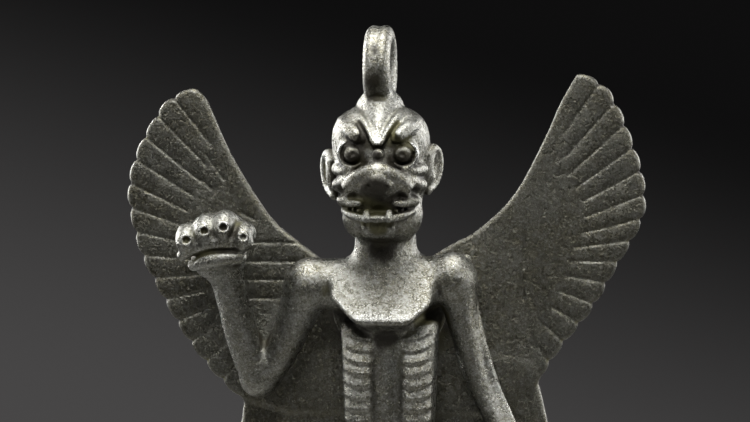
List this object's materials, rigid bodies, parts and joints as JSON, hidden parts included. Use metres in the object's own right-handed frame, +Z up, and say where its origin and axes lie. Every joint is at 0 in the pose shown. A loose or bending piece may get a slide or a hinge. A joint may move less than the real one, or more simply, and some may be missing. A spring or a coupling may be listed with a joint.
{
  "type": "pazuzu figure",
  "caption": "Standing winged demon figure cast in bronze, right hand raised, with scorpion tail, suspension ring on the crown and a low rectangular base.",
  "frame": {"origin": "on the underside of the base, under the middle between the feet and below the trunk", "axes": "+Z up from the base to the suspension ring, -Y the way the figure faces, +X towards the figure's left hand"},
  "size_m": [0.0869, 0.0428, 0.1501],
  "materials": {
    "bronze": "dark brown-green patina, satin, rubbed silvery on raised edges"
  },
  "bodies": {
    "root": {"pazuzu_figure": "bronze"}
  },
  "joints": []
}
